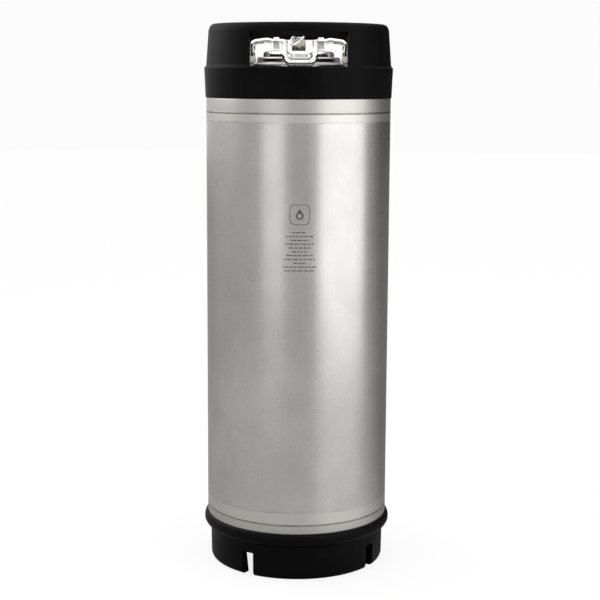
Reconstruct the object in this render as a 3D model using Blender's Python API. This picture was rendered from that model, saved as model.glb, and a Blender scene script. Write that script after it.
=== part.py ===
"""Five gallon ball lock soda keg, built from separate pieces.

Lengths are in millimetres; add_part() turns them into metres.
The origin is the centre of the base on the floor, +Z is up and the bail
handle and the front handhold face -Y.  The gas post stands at -X and the
liquid post at +X.
"""

from math import asin, cos, hypot, pi, radians, sin, sqrt, tan

import bmesh
import bpy
from mathutils import Matrix, Vector

MM = 0.001
GAP = 0.3                       # clearance kept between pieces that touch

# ---------------------------------------------------------------- whole keg
HEIGHT = 637.0                  # about 25 in over both rubber boots
SHELL_RADIUS = 107.8            # 8.5 in drum
WALL = 1.1                      # stainless sheet
UPPER_SEAM = 537.0              # girth welds
LOWER_SEAM = 67.0
ROUND = 40                      # sides on the large round pieces

# ---------------------------------------------------------------- heads
KNUCKLE = 28.0                  # corner radius of a pressed head
CROWN = 260.0                   # radius of its dome
KNUCKLE_STEPS = 4
BONDED_STEPS = 3                # how far round the knuckle the rubber reaches
TOP_TANGENT = 550.0             # where the top head starts to curve in
BOTTOM_TANGENT = 60.0

# ---------------------------------------------------------------- hatch and lid
HATCH_A = 41.7                  # half width of the oval hatch, along X
HATCH_B = 49.7                  # half length, along Y
RIM_TOP = 599.5
LIP_BOTTOM = 596.6
LAND_TOP = 592.0                # flat land that the bail feet press on
LID_TOP = 606.3
LID_SHEET = 1.6
FLANGE_TOP = 590.9
GASKET_RADIUS = 2.5
OVAL_SIDES = 32

# ---------------------------------------------------------------- bail
WIRE = 3.1                      # bail wire radius
HINGE_Z = 617.3
BRACKET_X = 26.0
BRACKET_WIDTH = 6.6
BRACKET_BORE = 3.6
BRACKET_SHEET = 1.5
ARM_X = 17.35
HANDLE_OFFSET = 1.5             # the bail sits a little to one side
BAR_Y = -71.0
BAR_Z = 592.5
ELBOW_Y = -61.0                 # where the handle bends down to its bar
ELBOW_Z = 609.0
CREST_Z = 618.9                 # the wire arches a little outside the brackets
LEG_X = 53.8
LEG_TOP = 616.5
LEG_END = 594.6

# ---------------------------------------------------------------- posts
POST_X = 76.0
POST_BASE = 588.0               # underside of the hexagon
POST_FLATS = 22.2               # 7/8 in hexagon
POST_SIDES = 18
STUB_RADIUS = 8.2
STUB_BORE = 5.0
STUB_BOTTOM = 572.0
STUB_TOP = 593.5
TUBE_RADIUS = 4.0
TUBE_BORE = 3.1
TUBE_FLANGE_TOP = 597.3

# ---------------------------------------------------------------- relief valve
VALVE_FLATS = 16.0
VALVE_BASE = 606.9
VALVE_TOP = 618.6
CAP_TOP = 622.6
EAR_RADIUS = 5.2                # ring hole's distance from the valve's axis
EAR_Z = 627.6
EAR_WIDTH = 3.1                 # half width of the ear
EAR_THICK = 1.1                 # half thickness
EAR_BORE = 1.9
EAR_TURN = radians(-20.0)       # ear faces the front, turned to the left
RING_RADIUS = 11.0
RING_WIRE = 0.85
RING_LEAN = radians(38.0)       # below level
RING_ROLL = radians(33.0)       # left side low

# ---------------------------------------------------------------- boots
WINDOW_HALF = 54.2              # handholds, front and rear
WINDOW_BOTTOM = 589.0
WINDOW_TOP = 626.7
LINTEL_LOW = 621.4              # the handhold's top edge slopes down to the inside
NOTCH_WIDTH = 14.7
NOTCH_HEIGHT = 28.0
NOTCH_TURN = radians(-33.25)    # first drain notch, from the front towards +X


# ================================================================ materials
def make_material(name, color, roughness, metallic):
    material = bpy.data.materials.new(name)
    material.use_nodes = True
    shader = material.node_tree.nodes["Principled BSDF"]
    shader.inputs["Base Color"].default_value = (*color, 1.0)
    shader.inputs["Roughness"].default_value = roughness
    shader.inputs["Metallic"].default_value = metallic
    return material


def rubber(name):
    return make_material(name, (0.012, 0.012, 0.013), 0.55, 0.0)


def steel(name, roughness=0.32):
    return make_material(name, (0.58, 0.56, 0.53), roughness, 1.0)


def bright_steel(name):
    return make_material(name, (0.78, 0.77, 0.75), 0.12, 1.0)


# ================================================================ mesh tools
def circle(radius, z, sides=ROUND, turn=0.0):
    if radius == 0.0:
        return [Vector((0.0, 0.0, z))]
    angles = [turn + 2.0 * pi * k / sides for k in range(sides)]
    return [Vector((radius * cos(a), radius * sin(a), z)) for a in angles]


def hexagon(flats, z, sides=POST_SIDES):
    """Six flats, with the first corner at +Y, sampled like a circle."""
    points = []
    for k in range(sides):
        angle = 2.0 * pi * k / sides
        from_flat = (angle + pi / 6.0) % (pi / 3.0) - pi / 6.0
        radius = 0.5 * flats / cos(from_flat)
        points.append(Vector((radius * cos(angle), radius * sin(angle), z)))
    return points


def oval(offset, z, sides=OVAL_SIDES):
    """The hatch's outline, grown outwards by offset."""
    angles = [2.0 * pi * k / sides for k in range(sides)]
    return [Vector(((HATCH_A + offset) * cos(a), (HATCH_B + offset) * sin(a), z))
            for a in angles]


def skin(rings, wrap=False):
    """Joins rings of points; a ring of one point is a tip."""
    mesh = bmesh.new()
    loops = [[mesh.verts.new(point) for point in ring] for ring in rings]
    pairs = list(zip(loops, loops[1:]))
    if wrap:
        pairs.append((loops[-1], loops[0]))
    for near, far in pairs:
        count = max(len(near), len(far))
        for i in range(count):
            j = (i + 1) % count
            corners = [near[i % len(near)], near[j % len(near)],
                       far[j % len(far)], far[i % len(far)]]
            corners = list(dict.fromkeys(corners))
            if len(corners) > 2:
                mesh.faces.new(corners)
    if not wrap:
        for loop in (loops[0], loops[-1]):
            if len(loop) > 2:
                mesh.faces.new(loop)
    bmesh.ops.recalc_face_normals(mesh, faces=mesh.faces)
    return mesh


def turned(profile, sides=ROUND, turn=0.0):
    """A solid of revolution; the outline closes on itself or on the axis."""
    on_axis = profile[0][0] == 0.0 and profile[-1][0] == 0.0
    return skin([circle(r, z, sides, turn) for r, z in profile], wrap=not on_axis)


def ring_profile(radius, z, section, sides=6):
    """Outline of an O-ring's section."""
    return [(radius + section * cos(2.0 * pi * k / sides),
             z + section * sin(2.0 * pi * k / sides)) for k in range(sides)]


def arc(centre, radius, start, end, steps):
    """Points (r, z) along an arc, angles in degrees."""
    points = []
    for k in range(steps + 1):
        angle = radians(start + (end - start) * k / steps)
        points.append((centre[0] + radius * cos(angle), centre[1] + radius * sin(angle)))
    return points


def rounded_path(corners):
    """A centre line through (point, bend radius) corners."""
    points = [corners[0][0]]
    for (before, _), (corner, radius), (after, _) in zip(corners, corners[1:], corners[2:]):
        way_in = (corner - before).normalized()
        way_out = (after - corner).normalized()
        bend = way_in.angle(way_out)
        start = corner - way_in * radius * tan(bend / 2.0)
        side = (way_out - way_in * way_in.dot(way_out)).normalized()
        centre = start + side * radius
        steps = max(2, round(bend / radians(18.0)))
        for k in range(steps + 1):
            angle = bend * k / steps
            points.append(centre - side * radius * cos(angle) + way_in * radius * sin(angle))
    points.append(corners[-1][0])
    return points


def sections_along(path, radius, sides):
    """Round sections across a path, carried along without twist."""
    tangents = []
    for k in range(len(path)):
        ahead = path[min(k + 1, len(path) - 1)] - path[k]
        behind = path[k] - path[max(k - 1, 0)]
        tangents.append((ahead.normalized() + behind.normalized()).normalized())
    across = tangents[0].orthogonal().normalized()
    rings = []
    for point, tangent in zip(path, tangents):
        across = (across - tangent * across.dot(tangent)).normalized()
        up = tangent.cross(across)
        rings.append([point + radius * (across * cos(2.0 * pi * k / sides)
                                        + up * sin(2.0 * pi * k / sides))
                      for k in range(sides)])
    return rings


def swept(path, radius, sides):
    return skin(sections_along(path, radius, sides))


def pipe(path, radius, bore, sides, flange=None):
    """A tube along a path, with a wide flange (radius, thickness) at its start."""
    outside = sections_along(path, radius, sides)
    inside = sections_along(path, bore, sides)
    if flange:
        wide, thick = flange
        down = (path[1] - path[0]).normalized()
        top = sections_along([path[0], path[0] + down * thick], wide, sides)
        neck = sections_along([path[0] + down * thick, path[1]], radius, sides)[0]
        outside = top + [neck] + outside[1:]
    return skin(outside + inside[::-1], wrap=True)


def helix(radius, wire, bottom, top, turns, steps=8, sides=4):
    """A compression spring standing on the Z axis."""
    low = bottom + wire
    rise = top - bottom - 2.0 * wire
    count = turns * steps
    path = [Vector((radius * cos(2.0 * pi * k / steps), radius * sin(2.0 * pi * k / steps),
                    low + rise * k / count)) for k in range(count + 1)]
    return swept(path, wire, sides)


def box(low, high):
    mesh = bmesh.new()
    size = Vector(high) - Vector(low)
    centre = (Vector(high) + Vector(low)) / 2.0
    bmesh.ops.create_cube(mesh, size=1.0,
                          matrix=Matrix.Translation(centre) @ Matrix.Diagonal((*size, 1.0)))
    return mesh


def moved(mesh, matrix):
    bmesh.ops.transform(mesh, matrix=matrix, verts=mesh.verts)
    return mesh


# ================================================================ objects
def add_part(name, mesh, material, frame=None):
    """Adds one piece.  frame is the empty on its joint's axis, if it moves."""
    origin = frame.matrix_world.translation if frame else Vector()
    bmesh.ops.transform(mesh, matrix=Matrix.Scale(MM, 4), verts=mesh.verts)
    bmesh.ops.translate(mesh, vec=-origin, verts=mesh.verts)
    data = bpy.data.meshes.new(name)
    mesh.to_mesh(data)
    mesh.free()
    data.shade_smooth()
    data.set_sharp_from_angle(angle=radians(35.0))
    piece = bpy.data.objects.new(name, data)
    bpy.context.scene.collection.objects.link(piece)
    if material:
        data.materials.append(material)
    piece.parent = frame
    return piece


def add_frame(name, x, y, z, parent=None):
    """An empty on a joint's axis."""
    frame = bpy.data.objects.new(name, None)
    bpy.context.scene.collection.objects.link(frame)
    frame.parent = parent
    base = parent.matrix_world.translation if parent else Vector()
    frame.location = Vector((x, y, z)) * MM - base
    bpy.context.view_layer.update()
    return frame


def add_tool(name, mesh):
    """A hidden shape that cuts or joins another."""
    tool = add_part(name, mesh, None)
    tool.display_type = "WIRE"
    tool.hide_render = True
    return tool


def shape_with(piece, tool, operation):
    modifier = piece.modifiers.new(tool.name, "BOOLEAN")
    modifier.operation = operation
    modifier.solver = "EXACT"
    modifier.object = tool


# ================================================================ heads and drum
def head_rise(radius, offset=0.0):
    """Height of a head's surface over its tangent line, offset outwards."""
    knuckle_centre = SHELL_RADIUS - KNUCKLE
    crown_drop = sqrt((CROWN - KNUCKLE) ** 2 - knuckle_centre ** 2)
    joint = knuckle_centre * (CROWN + offset) / (CROWN - KNUCKLE)
    if radius <= joint:
        return sqrt((CROWN + offset) ** 2 - radius ** 2) - crown_drop
    return sqrt((KNUCKLE + offset) ** 2 - (radius - knuckle_centre) ** 2)


def knuckle_radii(offset=0.0, count=KNUCKLE_STEPS):
    """Radii at the first steps round the knuckle, from the side wall inwards."""
    knuckle_centre = SHELL_RADIUS - KNUCKLE
    sweep = pi / 2.0 - asin(knuckle_centre / (CROWN - KNUCKLE))
    return [knuckle_centre + (KNUCKLE + offset) * cos(sweep * k / KNUCKLE_STEPS)
            for k in range(1, count + 1)]


def make_shell():
    inner = SHELL_RADIUS - WALL
    low = LOWER_SEAM + GAP / 2.0
    high = UPPER_SEAM - GAP / 2.0
    profile = [(SHELL_RADIUS, high), (SHELL_RADIUS, low), (inner, low), (inner, high)]
    add_part("shell_cylinder", turned(profile), steel("drum_steel"))


def make_bottom_head():
    def surface(offset):
        points = [(SHELL_RADIUS + offset, LOWER_SEAM - GAP / 2.0),
                  (SHELL_RADIUS + offset, BOTTOM_TANGENT)]
        for radius in knuckle_radii(offset) + [60.0, 30.0, 0.0]:
            points.append((radius, BOTTOM_TANGENT - head_rise(radius, offset)))
        return points

    profile = surface(0.0)[::-1] + surface(-WALL)
    add_part("bottom_head", turned(profile), steel("bottom_head_steel"))


def oval_dome(offset, sheet):
    """The oval, grown by offset, laid on the dome's outside or inside."""
    return [Vector((p.x, p.y, TOP_TANGENT + head_rise(hypot(p.x, p.y), sheet)))
            for p in oval(offset, 0.0, ROUND)]


def make_top_head():
    """Skirt, knuckle, dome, flat land and the drawn collar of the hatch."""
    def dome(sheet):
        rings = [circle(SHELL_RADIUS + sheet, UPPER_SEAM + GAP / 2.0),
                 circle(SHELL_RADIUS + sheet, TOP_TANGENT)]
        for radius in knuckle_radii(sheet):
            rings.append(circle(radius, TOP_TANGENT + head_rise(radius, sheet)))
        return rings

    collar_outside = [(18.3, 589.6), (17.4, 591.6), (16.4, LAND_TOP), (9.4, LAND_TOP),
                      (7.5, 593.4), (6.9, 595.5), (6.9, 597.8), (5.4, RIM_TOP),
                      (0.6, RIM_TOP)]
    collar_inside = [(0.0, LIP_BOTTOM + 0.5), (0.3, LIP_BOTTOM), (5.2, LIP_BOTTOM),
                     (5.4, 593.2), (7.0, 591.0), (15.6, LAND_TOP - WALL)]
    rings = dome(0.0) + [oval_dome(20.5, 0.0)]
    rings += [oval(d, z, ROUND) for d, z in collar_outside + collar_inside]
    rings += [oval_dome(18.6, -WALL)] + dome(-WALL)[::-1]
    head = add_part("top_head", skin(rings, wrap=True), steel("top_head_steel"))
    for side, x in (("gas", -POST_X), ("liquid", POST_X)):
        profile = [(0.0, 560.0), (STUB_RADIUS + GAP, 560.0),
                   (STUB_RADIUS + GAP, 600.0), (0.0, 600.0)]
        hole = moved(turned(profile, POST_SIDES), Matrix.Translation((x, 0.0, 0.0)))
        shape_with(head, add_tool(side + "_port_hole", hole), "DIFFERENCE")


# ================================================================ rubber boots
def make_top_boot():
    """Carrying ring with a handhold front and rear, bonded over the knuckle."""
    bond = [(radius, TOP_TANGENT + head_rise(radius, GAP))
            for radius in knuckle_radii(GAP, BONDED_STEPS)]
    edge = 553.0
    foot = SHELL_RADIUS - KNUCKLE + sqrt((KNUCKLE + GAP) ** 2 - (edge - TOP_TANGENT) ** 2)
    profile = [(97.0, HEIGHT), (99.8, HEIGHT), (102.2, HEIGHT - 1.4), (103.8, HEIGHT - 3.8),
               (104.9, HEIGHT - 7.5), (107.7, WINDOW_BOTTOM + 1.6),
               (108.6, WINDOW_BOTTOM - 0.6), (110.0, WINDOW_BOTTOM - 1.4),
               (110.0, WINDOW_BOTTOM - 3.0), (108.7, edge + 1.5), (108.4, edge)]
    profile += [(foot, edge)] + bond
    profile += [(95.4, HEIGHT - 4.0), (95.9, HEIGHT - 1.2)]
    boot = add_part("top_boot", turned(profile), rubber("top_boot_rubber"))
    reach = [(55.0, WINDOW_BOTTOM - 5.0), (135.0, WINDOW_BOTTOM - 5.0), (135.0, WINDOW_TOP),
             (105.2, WINDOW_TOP), (95.4, LINTEL_LOW), (55.0, LINTEL_LOW)]
    lintel = add_tool("handhold_lintel", turned(reach))
    for side, near, far in (("front", -130.0, -60.0), ("rear", 60.0, 130.0)):
        window = box((-WINDOW_HALF, near, WINDOW_BOTTOM), (WINDOW_HALF, far, WINDOW_TOP + 5.0))
        cutter = add_tool(side + "_handhold_cut", window)
        shape_with(cutter, lintel, "INTERSECT")
        shape_with(boot, cutter, "DIFFERENCE")


def make_base_boot():
    """Foot ring with a rolled lip round the drum and four drain notches."""
    inner_foot = 91.0
    bond = [(radius, BOTTOM_TANGENT - head_rise(radius, GAP))
            for radius in knuckle_radii(GAP, BONDED_STEPS)]
    lip_top = 56.5
    reach = SHELL_RADIUS - KNUCKLE + sqrt((KNUCKLE + GAP) ** 2
                                          - (BOTTOM_TANGENT - lip_top) ** 2)
    profile = [(inner_foot + 1.0, 0.0), (99.5, 0.0), (102.4, 1.4), (103.7, 4.6),
               (104.2, 40.0), (109.6, 43.0), (111.6, 46.4), (111.8, 50.6),
               (110.6, 54.4), (108.6, lip_top)]
    profile += [(reach, lip_top)] + bond
    profile += [(inner_foot, 1.0)]
    boot = add_part("base_boot", turned(profile), rubber("base_boot_rubber"))
    for k in range(4):
        notch = box((-NOTCH_WIDTH / 2.0, -125.0, -10.0), (NOTCH_WIDTH / 2.0, -70.0, NOTCH_HEIGHT))
        notch = moved(notch, Matrix.Rotation(NOTCH_TURN + k * pi / 2.0, 4, "Z"))
        shape_with(boot, add_tool("notch_cut_%d" % (k + 1), notch), "DIFFERENCE")


# ================================================================ posts
def post_profile(notched):
    """Outline rings of a plug, hexagon at the foot, from the top bore down."""
    rings = [circle(3.3, 621.0, POST_SIDES), circle(7.4, 621.0, POST_SIDES)]
    for radius, z in ((8.6, 619.6), (8.6, 615.6), (6.8, 615.4), (6.8, 612.8), (8.7, 612.6),
                      (8.7, 608.4), (7.6, 607.4), (7.6, 605.0), (8.7, 604.0), (8.7, 599.0),
                      (10.6, 599.0)):
        rings.append(circle(radius, z, POST_SIDES))
    rings.append(hexagon(POST_FLATS, 598.2))
    if notched:
        rings += [hexagon(POST_FLATS, 594.8), circle(POST_FLATS / 2.0, 594.4, POST_SIDES),
                  circle(POST_FLATS / 2.0, 593.4, POST_SIDES), hexagon(POST_FLATS, 593.0)]
    rings.append(hexagon(POST_FLATS, POST_BASE))
    for radius, z in ((STUB_RADIUS + GAP, POST_BASE), (STUB_RADIUS + GAP, 597.6), (5.4, 597.6),
                      (5.4, 615.9), (3.3, 618.0)):
        rings.append(circle(radius, z, POST_SIDES))
    return rings


def dip_path(side, x):
    """Centre line of a dip tube, from its flange down."""
    if side == "gas":
        return [Vector((x, 0.0, z)) for z in (TUBE_FLANGE_TOP, 580.0, 560.0)]
    start, level, tip = 260.0, 150.0, 26.0
    path = [Vector((x, 0.0, z)) for z in (TUBE_FLANGE_TOP, 580.0, 430.0, start)]
    steps = 9
    for k in range(1, steps + 1):
        t = k / steps
        keep = (1.0 - t) ** 3 + 3.0 * t * (1.0 - t) ** 2
        z = ((1.0 - t) ** 3 * start + 3.0 * t * (1.0 - t) ** 2 * level
             + 3.0 * t * t * (1.0 - t) * level + t ** 3 * tip)
        path.append(Vector((x * keep, 0.0, z)))
    return path


def make_post(side, x):
    place = Matrix.Translation((x, 0.0, 0.0))
    stub = [(STUB_BORE, STUB_TOP), (STUB_RADIUS - 0.5, STUB_TOP), (STUB_RADIUS, STUB_TOP - 0.6),
            (STUB_RADIUS, STUB_BOTTOM), (STUB_BORE, STUB_BOTTOM)]
    add_part(side + "_port", moved(turned(stub, POST_SIDES), place), steel(side + "_port_steel"))

    plug = moved(skin(post_profile(side == "gas"), wrap=True), place)
    add_part(side + "_post", plug, bright_steel(side + "_post_steel"))

    outer_seal = moved(turned(ring_profile(8.1, 614.1, 1.0), 20), place)
    add_part(side + "_post_oring", outer_seal, rubber(side + "_post_oring_rubber"))

    flange_seal = moved(turned(ring_profile(7.0, 594.7, 0.9), 20), place)
    add_part(side + "_tube_oring", flange_seal, rubber(side + "_tube_oring_rubber"))

    tube = pipe(dip_path(side, x), TUBE_RADIUS, TUBE_BORE, 12, flange=(8.0, 1.4))
    add_part(side + "_dip_tube", tube, steel(side + "_dip_tube_steel"))

    frame = add_frame(side + "_poppet_axis", x, 0.0, 614.0)
    poppet = [(0.0, 620.4), (1.5, 620.4), (2.0, 619.9), (2.0, 614.0), (4.4, 614.0),
              (4.4, 612.6), (1.6, 612.6), (1.6, 605.0), (0.0, 605.0)]
    add_part(side + "_poppet", moved(turned(poppet, 12), place),
             bright_steel(side + "_poppet_steel"), frame)
    seal = [(2.4, 614.3), (4.3, 614.3), (4.6, 615.6), (3.4, 616.8), (2.4, 616.8)]
    add_part(side + "_poppet_seal", moved(turned(seal, 12), place),
             rubber(side + "_poppet_seal_rubber"), frame)
    spring = helix(3.1, 0.4, TUBE_FLANGE_TOP + GAP, 612.6 - GAP, 6)
    add_part(side + "_poppet_spring", moved(spring, place), steel(side + "_spring_steel"))


# ================================================================ lid
def make_lid(frame):
    """Pressed oval lid: a raised plateau, a wall and the gasket's flange."""
    hole = 9.3
    outside = [(-4.2, LID_TOP), (-1.5, 605.2), (-0.5, 602.6), (-0.5, FLANGE_TOP),
               (4.4, FLANGE_TOP), (4.9, 590.1), (4.4, 589.3)]
    inside = [(-1.0, 589.3), (-2.1, 590.4), (-2.1, 602.4), (-4.2, LID_TOP - LID_SHEET)]
    rings = [circle(hole, LID_TOP, OVAL_SIDES)]
    rings += [oval(d, z) for d, z in outside + inside]
    rings += [circle(hole, LID_TOP - LID_SHEET, OVAL_SIDES)]
    add_part("lid_plate", skin(rings, wrap=True), bright_steel("lid_steel"), frame)

    centre = 2.3
    z = FLANGE_TOP + GAP + GASKET_RADIUS
    gasket = [oval(d, z) for d, z in ring_profile(centre, z, GASKET_RADIUS)]
    add_part("lid_gasket", skin(gasket, wrap=True), rubber("lid_gasket_rubber"), frame)


def make_bracket(side, x, frame):
    """Strap folded over the bail wire, with a foot welded down each side."""
    outer = BRACKET_BORE + BRACKET_SHEET
    low = LID_TOP + GAP
    foot = 9.0
    outline = [(-foot, low), (-foot, low + BRACKET_SHEET), (-outer, low + BRACKET_SHEET)]
    outline += arc((0.0, HINGE_Z), outer, 180.0, 0.0, 8)
    outline += [(outer, low + BRACKET_SHEET), (foot, low + BRACKET_SHEET), (foot, low),
                (BRACKET_BORE, low)]
    outline += arc((0.0, HINGE_Z), BRACKET_BORE, 0.0, 180.0, 8) + [(-BRACKET_BORE, low)]
    half = BRACKET_WIDTH / 2.0
    rings = [[Vector((x + shift, y, z)) for y, z in outline] for shift in (-half, half)]
    add_part("bail_bracket_" + side, skin(rings), bright_steel(side + "_bracket_steel"), frame)


# ================================================================ bail
def make_bail(frame):
    """One bent wire: handle, two arms, two pivots and two legs."""
    def half(sign):
        arm = HANDLE_OFFSET + sign * ARM_X
        return [(Vector((arm, BAR_Y, BAR_Z)), 10.0),
                (Vector((arm, ELBOW_Y, ELBOW_Z)), 10.0),
                (Vector((arm, 0.0, HINGE_Z)), 5.0),
                (Vector((sign * 31.0, 0.0, HINGE_Z)), 10.0),
                (Vector((sign * 36.0, 0.0, CREST_Z)), 12.0),
                (Vector((sign * LEG_X, 0.0, LEG_TOP)), 5.0),
                (Vector((sign * LEG_X, 0.0, LEG_END)), 0.0)]

    path = rounded_path(half(-1.0)[::-1] + half(1.0))
    add_part("bail_wire", swept(path, WIRE, 8), bright_steel("bail_steel"), frame)
    foot = [(0.0, LAND_TOP + GAP), (1.5, LAND_TOP + GAP), (3.0, 592.8), (4.0, 594.2),
            (4.1, 595.4), (3.9, 597.0), (3.9, 600.0), (WIRE + GAP, 600.0),
            (WIRE + GAP, LEG_END - GAP), (0.0, LEG_END - GAP)]
    for side, x in (("left", -LEG_X), ("right", LEG_X)):
        sleeve = moved(turned(foot, 16), Matrix.Translation((x, 0.0, 0.0)))
        clear = make_material(side + "_foot_vinyl", (0.80, 0.80, 0.76), 0.35, 0.0)
        add_part("bail_foot_" + side, sleeve, clear, frame)


# ================================================================ relief valve
def make_relief_valve(frame):
    """Threaded boss, body, retainer and spring: the pieces that stay put."""
    boss = [(6.9, 606.6), (9.0, 606.6), (9.0, 597.0), (6.9, 597.0)]
    add_part("prv_boss", turned(boss, POST_SIDES), steel("prv_boss_steel"), frame)

    rings = [circle(6.2, VALVE_TOP, POST_SIDES), circle(7.4, VALVE_TOP, POST_SIDES),
             hexagon(VALVE_FLATS, VALVE_TOP - 0.6), hexagon(VALVE_FLATS, VALVE_BASE)]
    for radius, z in ((6.6, VALVE_BASE), (6.6, 598.4), (2.2, 598.4), (2.2, 600.0),
                      (4.6, 600.0), (4.6, 615.2), (6.2, 615.2)):
        rings.append(circle(radius, z, POST_SIDES))
    body = add_part("prv_body", skin(rings, wrap=True),
                    make_material("prv_body_nickel", (0.60, 0.58, 0.50), 0.28, 1.0), frame)
    pin = turned([(0.0, 3.0), (1.3, 3.0), (1.3, 12.0), (0.0, 12.0)], 12)
    facing_front = Matrix.Rotation(pi / 2.0, 4, "X")
    to_flat = Matrix.Rotation(radians(30.0), 4, "Z")
    pin = moved(pin, Matrix.Translation((0.0, 0.0, 611.3)) @ to_flat @ facing_front)
    shape_with(body, add_tool("prv_vent_cut", pin), "DIFFERENCE")

    retainer = [(2.4, VALVE_TOP), (5.9, VALVE_TOP), (5.9, 615.5), (2.4, 615.5)]
    add_part("prv_retainer", turned(retainer, 20), bright_steel("prv_retainer_steel"), frame)
    add_part("prv_spring", helix(3.1, 0.5, 603.4 + GAP, 615.5 - GAP, 5),
             steel("prv_spring_steel"), frame)


def ear_axes():
    """Directions at the ear: outwards, and level across the ring's hole."""
    outwards = Vector((sin(EAR_TURN), -cos(EAR_TURN), 0.0))
    across = Vector((cos(EAR_TURN), sin(EAR_TURN), 0.0))
    return outwards, across


def make_relief_stem(frame):
    """Pull stem with its cap and the upright ear that carries the ring."""
    rod = 2.0
    profile = [(0.0, CAP_TOP), (7.2, CAP_TOP), (7.8, CAP_TOP - 0.6), (7.8, VALVE_TOP + GAP),
               (rod, VALVE_TOP + GAP), (rod, 603.4), (4.2, 603.4), (4.2, 601.9),
               (1.0, 601.9), (1.0, 600.6), (0.0, 600.6)]
    stem = add_part("prv_stem", turned(profile, 20), bright_steel("prv_stem_steel"), frame)

    outwards, across = ear_axes()
    to_ear = Matrix((across, -outwards, (0.0, 0.0, 1.0))).transposed().to_4x4()
    base = Matrix.Translation(outwards * EAR_RADIUS) @ to_ear
    outline = [(-EAR_WIDTH, CAP_TOP - 1.0)] + arc((0.0, EAR_Z), EAR_WIDTH, 180.0, 0.0, 8)
    outline += [(EAR_WIDTH, CAP_TOP - 1.0)]
    rings = [[Vector((shift, y, z)) for y, z in outline] for shift in (-EAR_THICK, EAR_THICK)]
    shape_with(stem, add_tool("prv_ear_block", moved(skin(rings), base)), "UNION")
    hole = turned([(0.0, -5.0), (EAR_BORE, -5.0), (EAR_BORE, 5.0), (0.0, 5.0)], 12)
    lie_across = Matrix.Rotation(pi / 2.0, 4, "Y")
    hole = moved(hole, base @ Matrix.Translation((0.0, 0.0, EAR_Z)) @ lie_across)
    shape_with(stem, add_tool("prv_ear_hole", hole), "DIFFERENCE")

    seal = [(1.3, 601.6), (4.0, 601.6), (4.0, 600.3), (1.3, 600.3)]
    add_part("prv_seal", turned(seal, 16), rubber("prv_seal_rubber"), frame)


def make_pull_ring(frame):
    """Round ring through the ear, leaning down over the front of the valve."""
    outwards, across = ear_axes()
    up = Vector((0.0, 0.0, 1.0))
    hinge = (across * cos(RING_ROLL) + up * sin(RING_ROLL)).normalized()
    level_out = (outwards - hinge * outwards.dot(hinge)).normalized()
    steep = hinge.cross(level_out)
    if steep.z > 0.0:
        steep = -steep
    along = level_out * cos(RING_LEAN) + steep * sin(RING_LEAN)
    normal = hinge.cross(along)
    hole = outwards * EAR_RADIUS + up * EAR_Z
    centre = hole + along * RING_RADIUS
    place = Matrix.Translation(centre) @ Matrix((along, hinge, -normal)).transposed().to_4x4()
    ring = turned(ring_profile(RING_RADIUS, 0.0, RING_WIRE), 28)
    add_part("prv_pull_ring", moved(ring, place), bright_steel("prv_ring_steel"), frame)


# ================================================================ assembly
def build():
    for piece in list(bpy.data.objects):
        bpy.data.objects.remove(piece, do_unlink=True)

    make_shell()
    make_bottom_head()
    make_top_head()
    make_top_boot()
    make_base_boot()
    make_post("gas", -POST_X)
    make_post("liquid", POST_X)

    lid_axis = add_frame("lid_axis", 0.0, 0.0, LID_TOP)
    make_lid(lid_axis)
    make_bracket("left", -BRACKET_X, lid_axis)
    make_bracket("right", BRACKET_X, lid_axis)
    make_relief_valve(lid_axis)

    make_bail(add_frame("bail_axis", 0.0, 0.0, HINGE_Z, lid_axis))
    stem_axis = add_frame("prv_stem_axis", 0.0, 0.0, VALVE_TOP, lid_axis)
    make_relief_stem(stem_axis)
    ear, _ = ear_axes()
    ring_at = ear * EAR_RADIUS
    make_pull_ring(add_frame("prv_ring_axis", ring_at.x, ring_at.y, EAR_Z, stem_axis))


build()
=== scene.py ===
"""Look of the five gallon ball lock soda keg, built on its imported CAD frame.

Shapes are worked out in millimetres in the frame's own axes; shape_to_piece()
turns them into metres.  The front, with the handhold and the bail, faces -Y.
"""

import random
from math import asin, atan2, cos, hypot, pi, radians, sin, sqrt, tan

import bmesh
import bpy
from mathutils import Matrix, Vector


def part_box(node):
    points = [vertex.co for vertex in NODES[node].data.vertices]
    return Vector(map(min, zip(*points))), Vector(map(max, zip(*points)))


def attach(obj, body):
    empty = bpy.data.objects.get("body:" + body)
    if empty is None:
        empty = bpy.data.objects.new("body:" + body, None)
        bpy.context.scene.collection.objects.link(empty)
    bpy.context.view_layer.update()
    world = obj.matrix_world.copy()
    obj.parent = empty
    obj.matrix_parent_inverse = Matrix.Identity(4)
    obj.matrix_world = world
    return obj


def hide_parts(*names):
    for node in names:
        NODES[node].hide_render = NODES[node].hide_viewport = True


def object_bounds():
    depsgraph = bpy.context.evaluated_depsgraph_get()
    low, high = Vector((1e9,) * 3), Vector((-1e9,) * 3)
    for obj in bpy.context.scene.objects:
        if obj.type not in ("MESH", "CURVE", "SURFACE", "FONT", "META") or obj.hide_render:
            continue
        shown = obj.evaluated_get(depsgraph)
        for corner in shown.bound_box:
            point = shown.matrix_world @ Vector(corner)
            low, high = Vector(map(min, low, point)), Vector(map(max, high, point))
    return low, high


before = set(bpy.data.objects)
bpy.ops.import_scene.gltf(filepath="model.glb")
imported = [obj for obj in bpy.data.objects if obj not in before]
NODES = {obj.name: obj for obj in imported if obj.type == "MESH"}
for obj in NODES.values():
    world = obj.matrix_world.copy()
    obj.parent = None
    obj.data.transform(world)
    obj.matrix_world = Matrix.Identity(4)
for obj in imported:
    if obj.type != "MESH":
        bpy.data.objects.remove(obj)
CAD_LOW, CAD_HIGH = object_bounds()
MM = 0.001


# ================================================================ sizes from the frame
def low_high(node):
    """Corners of a CAD node in millimetres."""
    low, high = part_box(node)
    return low / MM, high / MM


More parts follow.
